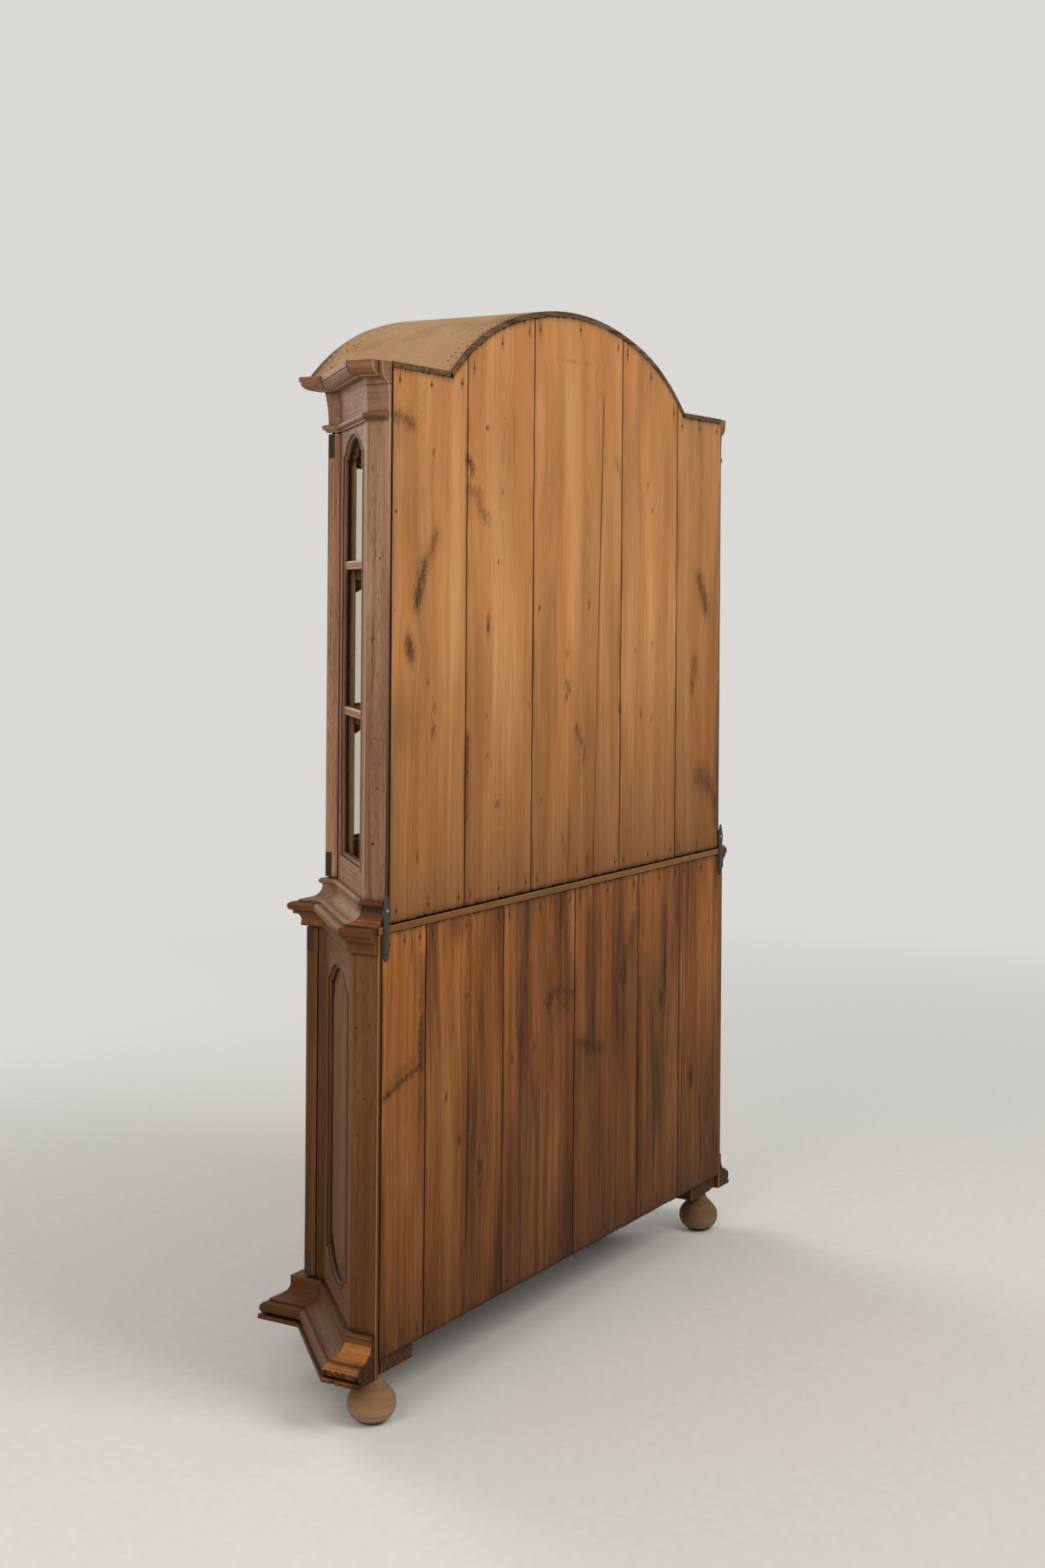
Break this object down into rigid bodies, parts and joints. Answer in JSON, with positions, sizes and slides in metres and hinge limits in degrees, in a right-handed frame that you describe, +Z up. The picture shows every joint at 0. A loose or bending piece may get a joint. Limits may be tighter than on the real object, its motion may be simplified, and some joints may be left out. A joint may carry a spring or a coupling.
{
  "type": "display cupboard",
  "caption": "Two-part oak display cupboard with canted glazed corners, arched barrel roof, boarded pine back, moulded waist and plinth on bun feet.",
  "frame": {"origin": "on the floor under the middle of the cupboard's overall box", "axes": "+Z up, -Y towards the front doors, +X to the right of somebody who stands before them"},
  "size_m": [1.652, 0.4151, 2.225],
  "materials": {
    "oak": "dry waxed, open grain",
    "pine_light": "bare, honey coloured",
    "pine_dark": "bare, darkened",
    "pine_roof": "bare, dusty",
    "turned_beech": "bare turned wood",
    "iron": "dull forged",
    "brass": "aged",
    "glass": "clear old sheet glass"
  },
  "bodies": {
    "case": {"arched_astragal": "oak", "arched_cornice": "oak", "arched_frieze": "oak", "foot_boards": "pine_dark", "front_feet": "turned_beech", "lower_back_board_first": "pine_dark", "lower_back_board_second": "pine_dark", "lower_back_board_third": "pine_dark", "lower_back_board_fourth": "pine_dark", "lower_back_board_fifth": "pine_dark", "lower_back_board_sixth": "pine_dark", "lower_bottom_board": "pine_dark", "lower_cant_frame_left": "oak", "lower_cant_frame_right": "oak", "lower_cant_panels": "oak", "lower_front_frame": "oak", "lower_rear_posts": "oak", "lower_shelf": "pine_dark", "nails_and_screws": "iron", "plinth_front": "oak", "plinth_sides": "oak", "rear_feet": "turned_beech", "roof_formers": "pine_dark", "roof_sheet": "pine_roof", "shelf_cleats": "pine_dark", "shoulder_boards": "pine_roof", "side_cornices": "oak", "tie_straps": "iron", "upper_back_board_first": "pine_light", "upper_back_board_second": "pine_light", "upper_back_board_third": "pine_light", "upper_back_board_fourth": "pine_light", "upper_back_board_fifth": "pine_light", "upper_base_front": "oak", "upper_base_sides": "oak", "upper_bottom_board": "pine_dark", "upper_cant_frame_left": "oak", "upper_cant_frame_right": "oak", "upper_cant_panes": "glass", "upper_front_posts": "oak", "upper_rear_posts": "oak", "upper_shelf_high": "pine_dark", "upper_shelf_low": "pine_dark", "waist_board": "pine_dark", "waist_front": "oak", "waist_sides": "oak"},
    "upper_door_right": {"upper_door_frame_right": "oak", "upper_door_panes_right": "glass", "upper_door_irons_right": "iron"},
    "upper_door_left": {"upper_door_frame_left": "oak", "upper_door_panes_left": "glass", "upper_door_irons_left": "iron"},
    "upper_catch": {"upper_turn_catch": "brass"},
    "lower_door_right": {"lower_door_frame_right": "oak", "lower_door_panel_right": "oak", "lower_door_irons_right": "iron"},
    "lower_door_left": {"lower_door_frame_left": "oak", "lower_door_panel_left": "oak", "lower_door_irons_left": "iron"},
    "lower_catch": {"lower_turn_catch": "brass"}
  },
  "joints": [
    {"name": "upper_door_right_hinge", "type": "hinge", "parent": "case", "child": "upper_door_right", "pos_m": [0.522, -0.0935, 1.4], "axis": [0, 0, 1], "range_deg": [0, 110]},
    {"name": "upper_door_left_hinge", "type": "hinge", "parent": "case", "child": "upper_door_left", "pos_m": [-0.522, -0.0935, 1.4], "axis": [0, 0, -1], "range_deg": [0, 110]},
    {"name": "upper_catch_turn", "type": "hinge", "parent": "upper_door_right", "child": "upper_catch", "pos_m": [0.024, -0.08, 1.48], "axis": [0, 1, 0], "range_deg": [0, 90]},
    {"name": "lower_door_right_hinge", "type": "hinge", "parent": "case", "child": "lower_door_right", "pos_m": [0.545, -0.1225, 0.55], "axis": [0, 0, 1], "range_deg": [0, 110]},
    {"name": "lower_door_left_hinge", "type": "hinge", "parent": "case", "child": "lower_door_left", "pos_m": [-0.545, -0.1225, 0.55], "axis": [0, 0, -1], "range_deg": [0, 110]},
    {"name": "lower_catch_turn", "type": "hinge", "parent": "lower_door_right", "child": "lower_catch", "pos_m": [0.024, -0.11, 0.6], "axis": [0, 1, 0], "range_deg": [0, 90]}
  ]
}
